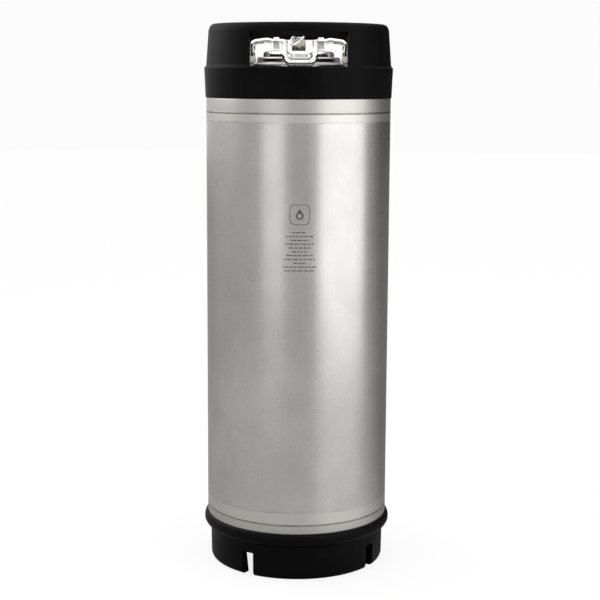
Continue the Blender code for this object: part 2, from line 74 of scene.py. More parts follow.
HEIGHT = CAD_HIGH.z / MM
SHELL_LOW, SHELL_HIGH = low_high("shell_cylinder")
SHELL_RADIUS = SHELL_HIGH.x
UPPER_SEAM = round(SHELL_HIGH.z)
LOWER_SEAM = round(SHELL_LOW.z)
UPPER_SCORE = 526.8             # edge of the ground band under the top seam
LOWER_SCORE = 81.4              # and over the bottom one
POST_X = (low_high("liquid_post")[0].x + low_high("liquid_post")[1].x) / 2.0
WALL = 1.1
KNUCKLE = 28.0
CROWN = 260.0
TOP_TANGENT = 550.0
BOTTOM_TANGENT = 60.0
HATCH_A = 41.7
HATCH_B = 49.7
RIM_TOP = 599.5
LIP_BOTTOM = 596.6
LAND_TOP = 592.0
LID_TOP = low_high("lid_plate")[1].z
FLANGE_TOP = 590.9
WIRE = 3.1
HINGE_Z = 617.3
LEG_X = (low_high("bail_foot_right")[0].x + low_high("bail_foot_right")[1].x) / 2.0
LEG_TOP = 616.5
LEG_END = 594.6
BAR_Y = -71.0
BAR_Z = 592.5
ELBOW_Y = -61.0
ELBOW_Z = 609.0
CREST_Z = 618.9
ARM_X = 17.35
HANDLE_OFFSET = 1.5
VALVE_TOP = 618.6
CAP_TOP = 622.6
EAR_Z = 627.6
EAR_WIDTH = 3.1
EAR_THICK = 1.1
EAR_BORE = 1.9
EAR_TURN = radians(-20.0)
EAR_RADIUS = 5.2
RING_RADIUS = 11.0
RING_WIRE = 0.85
RING_LEAN = radians(38.0)
RING_ROLL = radians(33.0)
WINDOW_HALF = 54.2
WINDOW_BOTTOM = 589.0
WINDOW_TOP = 626.7
LINTEL_LOW = 621.4
NOTCH_HALF = 7.35
NOTCH_HEIGHT = 28.0
NOTCH_TURN = radians(-33.25)
LARGE = 240                     # sides on the drum and boots
MIDDLE = 144                    # sides on the hatch
SMALL = 72                      # sides on the fittings


# ================================================================ outlines
def filleted(outline, steps=5, closed=True):
    """Rounds each (a, z, radius) corner of an outline into a short arc."""
    count = len(outline)
    points = []
    for k in range(count):
        a, z, radius = outline[k]
        here = Vector((a, z))
        if radius == 0.0 or (not closed and k in (0, count - 1)):
            points.append(here)
            continue
        before = Vector(outline[k - 1][:2])
        after = Vector(outline[(k + 1) % count][:2])
        way_in = (here - before).normalized()
        way_out = (after - here).normalized()
        bend = way_in.angle(way_out)
        room = 0.48 * min((here - before).length, (after - here).length)
        cut = min(room, radius * tan(bend / 2.0))
        radius = cut / tan(bend / 2.0)
        side = (way_out - way_in * way_in.dot(way_out)).normalized()
        start = here - way_in * cut
        for j in range(steps + 1):
            turn = bend * j / steps
            points.append(start + side * radius * (1.0 - cos(turn)) + way_in * radius * sin(turn))
    return [(p.x, p.y) for p in points]


def with_levels(profile, levels):
    """Adds a point wherever a closed outline crosses one of these heights."""
    points = []
    for (r0, z0), (r1, z1) in zip(profile, profile[1:] + profile[:1]):
        points.append((r0, z0))
        crossings = [level for level in levels if min(z0, z1) + 1e-6 < level < max(z0, z1) - 1e-6]
        for level in sorted(crossings, key=lambda v: abs(v - z0)):
            share = (level - z0) / (z1 - z0)
            points.append((r0 + (r1 - r0) * share, level))
    return points


def divided(profile, longest):
    """Splits long straight runs of a closed outline."""
    points = []
    for (r0, z0), (r1, z1) in zip(profile, profile[1:] + profile[:1]):
        steps = max(1, int(hypot(r1 - r0, z1 - z0) / longest))
        for k in range(steps):
            points.append((r0 + (r1 - r0) * k / steps, z0 + (z1 - z0) * k / steps))
    return points


def circle(radius, z, sides=LARGE):
    if radius == 0.0:
        return [Vector((0.0, 0.0, z))]
    return [Vector((radius * cos(2.0 * pi * k / sides), radius * sin(2.0 * pi * k / sides), z))
            for k in range(sides)]


def oval(offset, z, sides=MIDDLE):
    """The hatch's outline, grown outwards by offset."""
    return [Vector(((HATCH_A + offset) * cos(2.0 * pi * k / sides),
                    (HATCH_B + offset) * sin(2.0 * pi * k / sides), z)) for k in range(sides)]


def hexed(flats, limit, z, sides=SMALL):
    """A hexagon with a corner at +Y, its corners turned down to a round limit."""
    points = []
    for k in range(sides):
        angle = 2.0 * pi * k / sides
        from_flat = (angle + pi / 6.0) % (pi / 3.0) - pi / 6.0
        radius = min(limit, 0.5 * flats / cos(from_flat))
        points.append(Vector((radius * cos(angle), radius * sin(angle), z)))
    return points


def hex_levels(flats, low, high, chamfer=30.0):
    """Rings of a hexagon from low to high with both ends chamfered."""
    corner = 0.5 * flats / cos(pi / 6.0)
    drop = (corner - 0.5 * flats) * tan(radians(chamfer))
    rings = []
    for share in (0.0, 0.25, 0.5, 0.75, 1.0):
        rings.append((0.5 * flats - 0.15 + (corner - 0.5 * flats + 0.15) * share,
                      low + drop * share))
    for share in (1.0, 0.75, 0.5, 0.25, 0.0):
        rings.append((0.5 * flats - 0.15 + (corner - 0.5 * flats + 0.15) * share,
                      high - drop * share))
    return [hexed(flats, limit, z) for limit, z in rings]


def head_rise(radius, offset=0.0):
    """Height of a pressed head over its tangent line."""
    centre = SHELL_RADIUS - KNUCKLE
    crown_drop = sqrt((CROWN - KNUCKLE) ** 2 - centre ** 2)
    if radius <= centre * (CROWN + offset) / (CROWN - KNUCKLE):
        return sqrt((CROWN + offset) ** 2 - radius ** 2) - crown_drop
    inside = max(0.0, (KNUCKLE + offset) ** 2 - (radius - centre) ** 2)
    return sqrt(inside)


def knuckle_radii(offset, steps):
    centre = SHELL_RADIUS - KNUCKLE
    sweep = pi / 2.0 - asin(centre / (CROWN - KNUCKLE))
    return [centre + (KNUCKLE + offset) * cos(sweep * k / steps) for k in range(1, steps + 1)]


# ================================================================ shapes
def skin(rings, wrap=False):
    """Joins rings of points; a ring of one point is a tip."""
    mesh = bmesh.new()
    loops = [[mesh.verts.new(point) for point in ring] for ring in rings]
    pairs = list(zip(loops, loops[1:]))
    if wrap:
        pairs.append((loops[-1], loops[0]))
    for near, far in pairs:
        count = max(len(near), len(far))
        for i in range(count):
            j = (i + 1) % count
            corners = list(dict.fromkeys([near[i % len(near)], near[j % len(near)],
                                          far[j % len(far)], far[i % len(far)]]))
            if len(corners) > 2:
                mesh.faces.new(corners)
    if not wrap:
        for loop in (loops[0], loops[-1]):
            if len(loop) > 2:
                mesh.faces.new(loop)
    bmesh.ops.recalc_face_normals(mesh, faces=mesh.faces)
    return mesh


def turned(profile, sides=LARGE):
    on_axis = profile[0][0] == 0.0 and profile[-1][0] == 0.0
    return skin([circle(r, z, sides) for r, z in profile], wrap=not on_axis)


def moved(mesh, matrix):
    bmesh.ops.transform(mesh, matrix=matrix, verts=mesh.verts)
    return mesh


def joined(*meshes):
    """One bmesh from several."""
    whole = bmesh.new()
    for mesh in meshes:
        data = bpy.data.meshes.new("part")
        mesh.to_mesh(data)
        mesh.free()
        whole.from_mesh(data)
        bpy.data.meshes.remove(data)
    return whole


def rounded_path(corners, degrees=6.0):
    """A centre line through (point, bend radius) corners."""
    points = [corners[0][0]]
    for (before, _), (corner, radius), (after, _) in zip(corners, corners[1:], corners[2:]):
        way_in = (corner - before).normalized()
        way_out = (after - corner).normalized()
        bend = way_in.angle(way_out)
        start = corner - way_in * radius * tan(bend / 2.0)
        side = (way_out - way_in * way_in.dot(way_out)).normalized()
        centre = start + side * radius
        steps = max(3, round(bend / radians(degrees)))
        for k in range(steps + 1):
            angle = bend * k / steps
            points.append(centre - side * radius * cos(angle) + way_in * radius * sin(angle))
    points.append(corners[-1][0])
    return points


def swept(path, radius, sides=20, round_ends=0.0):
    """A round wire along a path; round_ends eases its two end edges."""
    tangents = []
    for k in range(len(path)):
        ahead = path[min(k + 1, len(path) - 1)] - path[k]
        behind = path[k] - path[max(k - 1, 0)]
        tangents.append((ahead.normalized() + behind.normalized()).normalized())
    across = tangents[0].orthogonal().normalized()
    rings = []

    def section(point, tangent, size):
        up = tangent.cross(across)
        return [point + size * (across * cos(2.0 * pi * k / sides)
                                + up * sin(2.0 * pi * k / sides)) for k in range(sides)]

    last = len(path) - 1
    for index, (point, tangent) in enumerate(zip(path, tangents)):
        across = (across - tangent * across.dot(tangent)).normalized()
        if index == 0 and round_ends:
            rings += [section(point, tangent, radius - round_ends),
                      section(point + tangent * round_ends * 0.3, tangent, radius - round_ends * 0.3),
                      section(point + tangent * round_ends, tangent, radius)]
        elif index == last and round_ends:
            rings += [section(point - tangent * round_ends, tangent, radius),
                      section(point - tangent * round_ends * 0.3, tangent, radius - round_ends * 0.3),
                      section(point, tangent, radius - round_ends)]
        else:
            rings.append(section(point, tangent, radius))
    return skin(rings)


def cut_ring(profile, half, middles, low, high, inner_high, between, across):
    """A turned ring with openings whose two sides are flat and parallel.

    profile is a closed outline with points at low, high and inner_high (where
    an opening's top edge ends on the inside); half is the half width of an
    opening, middles the turns of their centre lines from -Y.
    """
    middle_radius = sum(r for r, z in profile if z > low) / sum(1 for r, z in profile if z > low)

    def inside_opening(point):
        top = inner_high if point[0] < middle_radius else high
        return low - 1e-4 <= point[1] <= top + 1e-4

    def edge(radius):
        return asin(min(1.0, half / radius))

    columns = []
    for middle, following in zip(middles, middles[1:] + [middles[0] + 2.0 * pi]):
        for k in range(across):
            columns.append((middle, 2.0 * k / across - 1.0, None))
        for k in range(between):
            columns.append((middle, k / between, following))
    mesh = bmesh.new()
    grid = []
    for middle, share, following in columns:
        line = []
        for r, z in profile:
            if following is None:
                turn = middle + share * edge(r)
            else:
                start, end = middle + edge(r), following - edge(r)
                turn = start + (end - start) * share
            line.append(mesh.verts.new((r * sin(turn), -r * cos(turn), z)))
        grid.append(line)

    count = len(profile)
    gone = [inside_opening(profile[j]) and inside_opening(profile[(j + 1) % count])
            for j in range(count)]
    chains = []
    for j in range(count):
        if gone[j] and not gone[j - 1]:
            chain = [j]
            while gone[chain[-1] % count]:
                chain.append(chain[-1] + 1)
            chains.append([c % count for c in chain])
    for i, line in enumerate(grid):
        following = grid[(i + 1) % len(grid)]
        in_opening = columns[i][2] is None
        for j in range(count):
            if not (gone[j] and in_opening):
                k = (j + 1) % count
                mesh.faces.new([line[j], following[j], following[k], line[k]])
        if in_opening:
            for chain, after in zip(chains, chains[1:] + chains[:1]):
                a, b = chain[-1], after[0]
                mesh.faces.new([line[a], following[a], following[b], line[b]])
    whole = [j for chain in chains for j in chain]
    for m in range(len(middles)):
        first = m * (across + between)
        for column in (first, first + across):
            mesh.faces.new([grid[column][j] for j in whole])
    bmesh.ops.recalc_face_normals(mesh, faces=mesh.faces)
    return mesh


def shape_to_piece(name, mesh, material, body, replaces=(), sharp=40.0, bevel=None):
    """Makes a finished piece from a bmesh in millimetres."""
    bmesh.ops.transform(mesh, matrix=Matrix.Scale(MM, 4), verts=mesh.verts)
    data = bpy.data.meshes.new(name)
    mesh.to_mesh(data)
    mesh.free()
    data.shade_smooth()
    data.set_sharp_from_angle(angle=radians(sharp))
    data.materials.append(material)
    piece = bpy.data.objects.new(name, data)
    bpy.context.scene.collection.objects.link(piece)
    if bevel:
        width, angle, segments = bevel
        ease = piece.modifiers.new("ease", "BEVEL")
        ease.width = width * MM
        ease.segments = segments
        ease.limit_method = "ANGLE"
        ease.angle_limit = radians(angle)
        ease.harden_normals = True
    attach(piece, body)
    if replaces:
        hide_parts(*replaces)
    return piece


def cut_with(mesh, tool):
    """Subtracts one bmesh from another."""
    holders = []
    for part in (mesh, tool):
        data = bpy.data.meshes.new("cut")
        part.to_mesh(data)
        part.free()
        holder = bpy.data.objects.new("cut", data)
        bpy.context.scene.collection.objects.link(holder)
        holders.append(holder)
    body, cutter = holders
    modifier = body.modifiers.new("cut", "BOOLEAN")
    modifier.operation = "DIFFERENCE"
    modifier.solver = "EXACT"
    modifier.object = cutter
    result = bmesh.new()
    result.from_object(body, bpy.context.evaluated_depsgraph_get())
    for holder in holders:
        bpy.data.objects.remove(holder)
    return result


# ================================================================ material nodes
def add(tree, kind, settings=None, **inputs):
    made = tree.nodes.new(kind)
    for key, value in (settings or {}).items():
        setattr(made, key, value)
    for key, value in inputs.items():
        socket = made.inputs[int(key[1:])] if key[1:].isdigit() else made.inputs[key.replace("_", " ")]
        if isinstance(value, bpy.types.NodeSocket):
            tree.links.new(value, socket)
        else:
            socket.default_value = value
    return made


def calc(tree, operation, a, b=0.5, c=0.5, clamp=False):
    return add(tree, "ShaderNodeMath", {"operation": operation, "use_clamp": clamp},
               i0=a, i1=b, i2=c).outputs[0]


def spread(tree, value, low, high, to_low=0.0, to_high=1.0):
    """Smooth step of value between low and high, mapped to a range."""
    return add(tree, "ShaderNodeMapRange", {"interpolation_type": "SMOOTHSTEP"}, Value=value,
               From_Min=low, From_Max=high, To_Min=to_low, To_Max=to_high).outputs[0]


def noise(tree, where, scale, detail=3.0, rough=0.55, distortion=0.0):
    return add(tree, "ShaderNodeTexNoise", None, Vector=where, Scale=scale, Detail=detail,
               Roughness=rough, Distortion=distortion).outputs[0]


def stretched(tree, where, scales, detail=3.0, rough=0.55, distortion=0.0):
    """Noise with its own scale along each axis."""
    scaled = add(tree, "ShaderNodeVectorMath", {"operation": "MULTIPLY"}, i0=where, i1=scales)
    return noise(tree, scaled.outputs[0], 1.0, detail, rough, distortion)


def times(tree, a, b):
    return calc(tree, "MULTIPLY", a, b)


def plus(tree, a, b, clamp=False):
    return calc(tree, "ADD", a, b, clamp=clamp)


def minus(tree, a, b):
    return calc(tree, "SUBTRACT", a, b)


def shade(tone, red, green, blue):
    return tone * red, tone * green, tone * blue


def blend_colors(tree, share, first, second):
    made = add(tree, "ShaderNodeMix", {"data_type": "RGBA"})
    for socket, value in ((made.inputs[0], share), (made.inputs[6], first), (made.inputs[7], second)):
        if isinstance(value, bpy.types.NodeSocket):
            tree.links.new(value, socket)
        else:
            socket.default_value = (*value, 1.0) if isinstance(value, tuple) else value
    return made.outputs[2]


def new_material(name):
    material = bpy.data.materials.new(name)
    material.use_nodes = True
    tree = material.node_tree
    return material, tree, tree.nodes["Principled BSDF"]


def object_place(tree):
    return add(tree, "ShaderNodeTexCoord").outputs["Object"]


def positions(tree):
    """Place in the frame, its three parts, and (turn length, height, radius) round the keg."""
    where = object_place(tree)
    x, y, z = add(tree, "ShaderNodeSeparateXYZ", None, Vector=where).outputs
    turn = calc(tree, "ARCTAN2", x, times(tree, y, -1.0))
    length = times(tree, turn, SHELL_RADIUS * MM)
    radius = calc(tree, "SQRT", plus(tree, times(tree, x, x), times(tree, y, y)))
    rolled = add(tree, "ShaderNodeCombineXYZ", None, X=length, Y=z, Z=radius).outputs[0]
    return where, (x, y, z), rolled, turn, radius


def distance_from(tree, height, level):
    """How far a height is from a level given in millimetres, in metres."""
    return calc(tree, "ABSOLUTE", minus(tree, height, level * MM))


def total(tree, *terms):
    """Sum of (socket, weight) pairs."""
    result = None
    for socket, weight in terms:
        part = times(tree, socket, weight)
        result = part if result is None else plus(tree, result, part)
    return result


def surface(tree, shader, color, base, rough, height, relief, metal=1.0):
    """Colour, roughness (base plus a varying part) and a bump; relief is in metres."""
    tree.links.new(color, shader.inputs["Base Color"])
    tree.links.new(plus(tree, rough, base), shader.inputs["Roughness"])
    made = add(tree, "ShaderNodeBump", None, Height=height, Distance=relief, Strength=1.0)
    tree.links.new(made.outputs[0], shader.inputs["Normal"])
    shader.inputs["Metallic"].default_value = metal


def drum_steel(name, tone=0.47):
    """Satin sheet: rolling streaks, ground weld bands, faint heat tint and handling marks."""
    material, tree, shader = new_material(name)
    where, (_, _, z), rolled, turn, radius = positions(tree)
    cloud = noise(tree, where, 9.0, 4.0)
    patch = stretched(tree, rolled, (22.0, 9.0, 1.0), 5.0, 0.6, 0.6)
    streak = stretched(tree, rolled, (420.0, 5.0, 1.0), 3.0, 0.6)
    broad = stretched(tree, rolled, (60.0, 3.0, 1.0), 2.0)
    grain = stretched(tree, rolled, (2600.0, 260.0, 1.0), 2.0)
    ground = stretched(tree, rolled, (14.0, 2400.0, 1.0), 3.0, 0.65)
    coarse = stretched(tree, rolled, (5.0, 420.0, 1.0), 3.0, 0.6)
    wander = times(tree, minus(tree, noise(tree, where, 26.0), 0.5), 0.0022)
    height = plus(tree, z, wander)
    upper = times(tree, spread(tree, height, (UPPER_SCORE - 0.6) * MM, (UPPER_SCORE + 0.6) * MM),
                  spread(tree, height, TOP_TANGENT * MM, (TOP_TANGENT + 8.0) * MM, 1.0, 0.0))
    lower = spread(tree, height, (LOWER_SCORE - 0.9) * MM, (LOWER_SCORE + 0.8) * MM, 1.0, 0.0)
    sanded = plus(tree, upper, lower, clamp=True)
    near = calc(tree, "MINIMUM", *[distance_from(tree, z, seam) for seam in (UPPER_SEAM, LOWER_SEAM)])
    heat = times(tree, spread(tree, near, 0.001, 0.011, 1.0, 0.0),
                 spread(tree, stretched(tree, rolled, (24.0, 8.0, 1.0)), 0.50, 0.66))
    edges = [spread(tree, distance_from(tree, height, line), 0.0001, 0.0008, 1.0, 0.0)
             for line in (UPPER_SCORE, LOWER_SCORE)]
    score = times(tree, calc(tree, "MAXIMUM", *edges),
                  spread(tree, stretched(tree, rolled, (30.0, 4.0, 1.0)), 0.35, 0.6))
    scuff_field = stretched(tree, rolled, (70.0, 45.0, 1.0), 6.0, 0.75, 1.4)
    scuff = spread(tree, scuff_field, 0.66, 0.74)
    rear = minus(tree, pi, calc(tree, "ABSOLUTE", turn))
    long_weld = times(tree, spread(tree, rear, 0.006, 0.016, 1.0, 0.0),
                      spread(tree, radius, (SHELL_RADIUS - 1.8) * MM, (SHELL_RADIUS - 0.3) * MM))

    light = shade(tone, 1.05, 1.035, 1.005)
    dark = shade(tone, 0.93, 0.915, 0.885)
    color = blend_colors(tree, spread(tree, cloud, 0.35, 0.66), dark, light)
    for share, amount, tint in ((spread(tree, patch, 0.48, 0.70), 0.35, (0.86, 0.85, 0.83)),
                                (sanded, 0.55, (1.12, 1.10, 1.05)), (heat, 0.5, (1.08, 0.98, 0.76)),
                                (score, 0.55, (0.42, 0.40, 0.38)), (scuff, 0.25, (0.62, 0.61, 0.60)),
                                (long_weld, 0.30, (0.82, 0.74, 0.60))):
        color = blend_colors(tree, times(tree, share, amount), color, shade(tone, *tint))
    rough = total(tree, (streak, 0.07), (patch, 0.07), (sanded, 0.10), (ground, 0.03),
                  (scuff, 0.10), (broad, 0.04))
    across = times(tree, sanded, plus(tree, ground, coarse))
    height = total(tree, (streak, 0.16), (broad, 1.2), (grain, 0.08), (across, 0.55),
                   (cloud, 9.0), (score, -0.8), (long_weld, 1.2))
    surface(tree, shader, color, 0.17, rough, height, 0.00002)
    return material


def polished_steel(name, tone=0.88, base=0.17):
    """Pressed and polished sheet with hairlines and water marks."""
    material, tree, shader = new_material(name)
    where = object_place(tree)
    cloud = noise(tree, where, 60.0, 4.0)
    hair = stretched(tree, where, (180.0, 3200.0, 900.0), 3.0, 0.7)
    swirl = noise(tree, where, 700.0, 4.0, 0.7, 1.2)
    color = blend_colors(tree, spread(tree, cloud, 0.35, 0.65),
                         shade(tone, 0.86, 0.845, 0.82), shade(tone, 1.0, 0.99, 0.97))
    rough = total(tree, (hair, 0.05), (spread(tree, cloud, 0.5, 0.72), 0.07), (swirl, 0.03))
    surface(tree, shader, color, base, rough,
            total(tree, (hair, 0.25), (swirl, 0.25), (cloud, 1.6)), 0.00001)
    return material


def turned_steel(name, centre=(0.0, 0.0), tone=0.66, warm=0.0, base=0.16):
    """Machined fitting: fine lathe rings about its own axis."""
    material, tree, shader = new_material(name)
    where, (x, y, z), _, _, _ = positions(tree)
    shifted_x = minus(tree, x, centre[0] * MM)
    shifted_y = minus(tree, y, centre[1] * MM)
    radius = calc(tree, "SQRT", plus(tree, times(tree, shifted_x, shifted_x),
                                     times(tree, shifted_y, shifted_y)))
    turn = calc(tree, "ARCTAN2", shifted_y, shifted_x)
    rings = add(tree, "ShaderNodeCombineXYZ", None, X=times(tree, turn, 0.3),
                Y=times(tree, radius, 4200.0), Z=times(tree, z, 4200.0))
    groove = noise(tree, rings.outputs[0], 1.0, 2.0)
    cloud = noise(tree, where, 160.0, 4.0)
    stain = spread(tree, noise(tree, where, 420.0, 5.0, 0.7), 0.56, 0.72)
    light = (tone, tone * (0.985 - warm * 0.3), tone * (0.955 - warm))
    dark = (tone * 0.80, tone * (0.78 - warm * 0.3), tone * (0.75 - warm))
    color = blend_colors(tree, spread(tree, cloud, 0.35, 0.65), dark, light)
    color = blend_colors(tree, times(tree, stain, 0.35), color, shade(tone, 0.45, 0.42, 0.36))
    rough = total(tree, (groove, 0.06), (stain, 0.14), (cloud, 0.06))
    surface(tree, shader, color, base, rough, total(tree, (groove, 0.5), (cloud, 1.5)), 0.00001)
    return material


def boot_rubber(name):
    """Moulded black rubber: flow marks, fine pores, dusty bloom and rub marks."""
    material, tree, shader = new_material(name)
    where, _, rolled, _, _ = positions(tree)
    cloud = noise(tree, where, 14.0, 5.0, 0.6, 0.4)
    flow = stretched(tree, rolled, (55.0, 9.0, 1.0), 5.0, 0.65, 0.8)
    pores = noise(tree, where, 1500.0, 2.0)
    lumps = noise(tree, where, 110.0, 3.0)
    rub_field = stretched(tree, rolled, (190.0, 60.0, 40.0), 6.0, 0.8, 0.6)
    rub = spread(tree, rub_field, 0.60, 0.74)
    bloom = times(tree, spread(tree, cloud, 0.46, 0.70), spread(tree, flow, 0.38, 0.66))
    color = blend_colors(tree, bloom, (0.0008, 0.0008, 0.0010), (0.0028, 0.0029, 0.0031))
    color = blend_colors(tree, times(tree, rub, 0.55), color, (0.0075, 0.0075, 0.0078))
    rough = total(tree, (bloom, 0.16), (rub, 0.14), (flow, 0.10), (pores, 0.04))
    height = total(tree, (pores, 0.30), (lumps, 1.6), (flow, 1.2), (rub, -0.5))
    surface(tree, shader, color, 0.36, rough, height, 0.00003, 0.0)
    shader.inputs["Specular IOR Level"].default_value = 0.05
    return material


def seal_rubber(name):
    """Soft food grade rubber, matt with a greasy patchiness."""
    material, tree, shader = new_material(name)
    where = object_place(tree)
    cloud = noise(tree, where, 220.0, 4.0)
    fine = noise(tree, where, 2600.0, 2.0)
    color = blend_colors(tree, spread(tree, cloud, 0.4, 0.65), (0.006, 0.006, 0.006),
                         (0.016, 0.016, 0.015))
    surface(tree, shader, color, 0.26, total(tree, (cloud, 0.22), (fine, 0.06)),
            total(tree, (fine, 0.4), (cloud, 1.0)), 0.00002, 0.0)
    return material


def foot_vinyl(name):
    """Milky vinyl sleeve, slightly yellowed and scuffed."""
    material, tree, shader = new_material(name)
    where = object_place(tree)
    cloud = noise(tree, where, 300.0, 4.0)
    fine = noise(tree, where, 2400.0, 2.0)
    color = blend_colors(tree, spread(tree, cloud, 0.4, 0.66), (0.78, 0.77, 0.72), (0.86, 0.86, 0.84))
    surface(tree, shader, color, 0.18, total(tree, (cloud, 0.2), (fine, 0.06)),
            total(tree, (fine, 0.3), (cloud, 1.0)), 0.00003, 0.0)
    shader.inputs["Subsurface Weight"].default_value = 0.25
    shader.inputs["Subsurface Radius"].default_value = (0.002, 0.002, 0.0016)
    return material


def etched(name):
    """Electro-etched grey black mark on the steel, patchy as the stencil leaves it."""
    material, tree, shader = new_material(name)
    where = object_place(tree)
    worn = noise(tree, where, 900.0, 4.0, 0.7)
    color = blend_colors(tree, spread(tree, worn, 0.45, 0.75), (0.035, 0.034, 0.033), (0.15, 0.145, 0.14))
    surface(tree, shader, color, 0.38, total(tree, (worn, 0.25)), worn, 0.00001, 0.35)
    return material


def weld_steel(name, tone=0.58):
    """Ground weld bead: rippled, a little straw coloured."""
    material, tree, shader = new_material(name)
    where, _, rolled, _, _ = positions(tree)
    ripple = stretched(tree, rolled, (900.0, 200.0, 1.0), 2.0)
    cloud = noise(tree, where, 90.0, 4.0)
    color = blend_colors(tree, spread(tree, cloud, 0.38, 0.64), shade(tone, 0.86, 0.81, 0.70),
                         shade(tone, 1.03, 1.0, 0.94))
    surface(tree, shader, color, 0.20, total(tree, (ripple, 0.12), (cloud, 0.10)),
            total(tree, (ripple, 1.0), (cloud, 1.0)), 0.00003)
    return material


# ================================================================ keg body
def make_drum():
    steel = drum_steel("drum_steel")
    inner = SHELL_RADIUS - WALL
    profile = divided([(SHELL_RADIUS, SHELL_HIGH.z), (SHELL_RADIUS, SHELL_LOW.z),
                       (inner, SHELL_LOW.z), (inner, SHELL_HIGH.z)], 60.0)
    shape_to_piece("drum_sheet", turned(profile), steel, "keg", ["shell_cylinder"])

    weld = weld_steel("girth_weld_steel", 0.24)
    for name, seam in (("upper_girth_weld", UPPER_SEAM), ("lower_girth_weld", LOWER_SEAM)):
        bead = [(SHELL_RADIUS - 0.8, seam - 1.1), (SHELL_RADIUS - 0.02, seam - 1.1),
                (SHELL_RADIUS + 0.10, seam - 0.7), (SHELL_RADIUS + 0.16, seam),
                (SHELL_RADIUS + 0.10, seam + 0.7), (SHELL_RADIUS - 0.02, seam + 1.1),
                (SHELL_RADIUS - 0.8, seam + 1.1)]
        shape_to_piece(name, turned(bead), weld, "keg")


def make_bottom_head(steel):
    def half_outline(offset):
        points = [(SHELL_RADIUS + offset, LOWER_SEAM - 0.15), (SHELL_RADIUS + offset, BOTTOM_TANGENT)]
        radii = knuckle_radii(offset, 14)
        radii += [radii[-1] * k / 12.0 for k in range(11, 0, -1)] + [0.0]
        return points + [(r, BOTTOM_TANGENT - head_rise(r, offset)) for r in radii]

    profile = half_outline(0.0)[::-1] + half_outline(-WALL)
    shape_to_piece("lower_head", turned(profile), steel, "keg", ["bottom_head"])


def make_top_head(steel):
    def dome(sheet):
        rings = [circle(SHELL_RADIUS + sheet, UPPER_SEAM + 0.15, MIDDLE),
                 circle(SHELL_RADIUS + sheet, TOP_TANGENT, MIDDLE)]
        rings += [circle(r, TOP_TANGENT + head_rise(r, sheet), MIDDLE)
                  for r in knuckle_radii(sheet, 14)]
        last = rings[-1]
        ring = oval(20.5 if sheet == 0.0 else 18.6, 0.0)
        for k in range(1, 7):
            blended = []
            for outer, near in zip(last, ring):
                point = outer.lerp(near, k / 6.0)
                reach = hypot(point.x, point.y)
                blended.append(Vector((point.x, point.y, TOP_TANGENT + head_rise(reach, sheet))))
            rings.append(blended)
        return rings

    outside = [(18.3, 589.6, 0.9), (17.4, 591.6, 0.9), (16.4, LAND_TOP, 1.2), (9.4, LAND_TOP, 1.6),
               (7.15, 593.4, 1.2), (6.9, 595.5, 2.5), (6.9, 597.8, 1.6), (5.4, RIM_TOP, 1.6),
               (0.6, RIM_TOP, 0.9), (0.0, LIP_BOTTOM + 0.5, 0.5), (0.3, LIP_BOTTOM, 0.3),
               (5.2, LIP_BOTTOM, 0.6), (5.4, 593.2, 1.2), (7.0, 591.0, 1.5),
               (15.6, LAND_TOP - WALL, 0.0)]
    rings = dome(0.0) + [oval(d, z) for d, z in filleted(outside, 4, closed=False)]
    rings += dome(-WALL)[::-1]
    shape_to_piece("upper_head", skin(rings, wrap=True), steel, "keg", ["top_head"],
                   sharp=50.0)


def make_top_boot(rubber):
    edge = 553.0
    foot = SHELL_RADIUS - KNUCKLE + sqrt((KNUCKLE + 0.3) ** 2 - (edge - TOP_TANGENT) ** 2)
    bond = [(r, TOP_TANGENT + head_rise(r, 0.3), 0.0) for r in knuckle_radii(0.3, 4)[:3]]
    outline = [(97.0, HEIGHT, 1.0), (99.8, HEIGHT, 3.0), (102.2, HEIGHT - 1.4, 4.0),
               (103.8, HEIGHT - 3.8, 5.0), (104.9, HEIGHT - 7.5, 8.0),
               (107.7, WINDOW_BOTTOM + 1.6, 1.2), (108.6, WINDOW_BOTTOM - 0.6, 0.8),
               (110.0, WINDOW_BOTTOM - 1.4, 0.8), (110.0, WINDOW_BOTTOM - 3.0, 0.8),
               (109.3, 571.0, 8.0), (108.7, edge + 1.5, 0.8), (108.4, edge, 0.3), (foot, edge, 0.0)]
    outline += bond + [(95.4, HEIGHT - 4.0, 2.0), (95.9, HEIGHT - 1.2, 0.8)]
    profile = with_levels(filleted(outline, 4), (WINDOW_BOTTOM, LINTEL_LOW, WINDOW_TOP))
    profile = divided(profile, 9.0)
    mesh = cut_ring(profile, WINDOW_HALF, [0.0, pi], WINDOW_BOTTOM, WINDOW_TOP, LINTEL_LOW, 72, 36)
    shape_to_piece("carrying_boot", mesh, rubber, "keg", ["top_boot"],
                   sharp=30.0, bevel=(0.9, 42.0, 3))


def make_base_boot(rubber):
    lip_top = 56.5
    reach = SHELL_RADIUS - KNUCKLE + sqrt((KNUCKLE + 0.3) ** 2 - (BOTTOM_TANGENT - lip_top) ** 2)
    bond = [(r, BOTTOM_TANGENT - head_rise(r, 0.3), 0.0) for r in knuckle_radii(0.3, 4)[:3]]
    outline = [(92.0, 0.0, 0.8), (99.5, 0.0, 1.5), (102.4, 1.4, 2.0), (103.7, 4.6, 3.0),
               (104.2, 40.0, 3.0), (109.6, 43.0, 3.0), (111.6, 46.4, 3.0), (111.8, 50.6, 3.0),
               (110.6, 54.4, 3.0), (108.6, lip_top, 0.8), (reach, lip_top, 0.0)]
    outline += bond + [(91.0, 1.0, 0.6)]
    profile = with_levels(filleted(outline, 4), (NOTCH_HEIGHT,))
    profile = divided(profile, 9.0)
    middles = [NOTCH_TURN + k * pi / 2.0 for k in range(4)]
    mesh = cut_ring(profile, NOTCH_HALF, middles, -1.0, NOTCH_HEIGHT, NOTCH_HEIGHT, 48, 6)
    shape_to_piece("standing_boot", mesh, rubber, "keg", ["base_boot"],
                   sharp=30.0, bevel=(0.7, 42.0, 3))


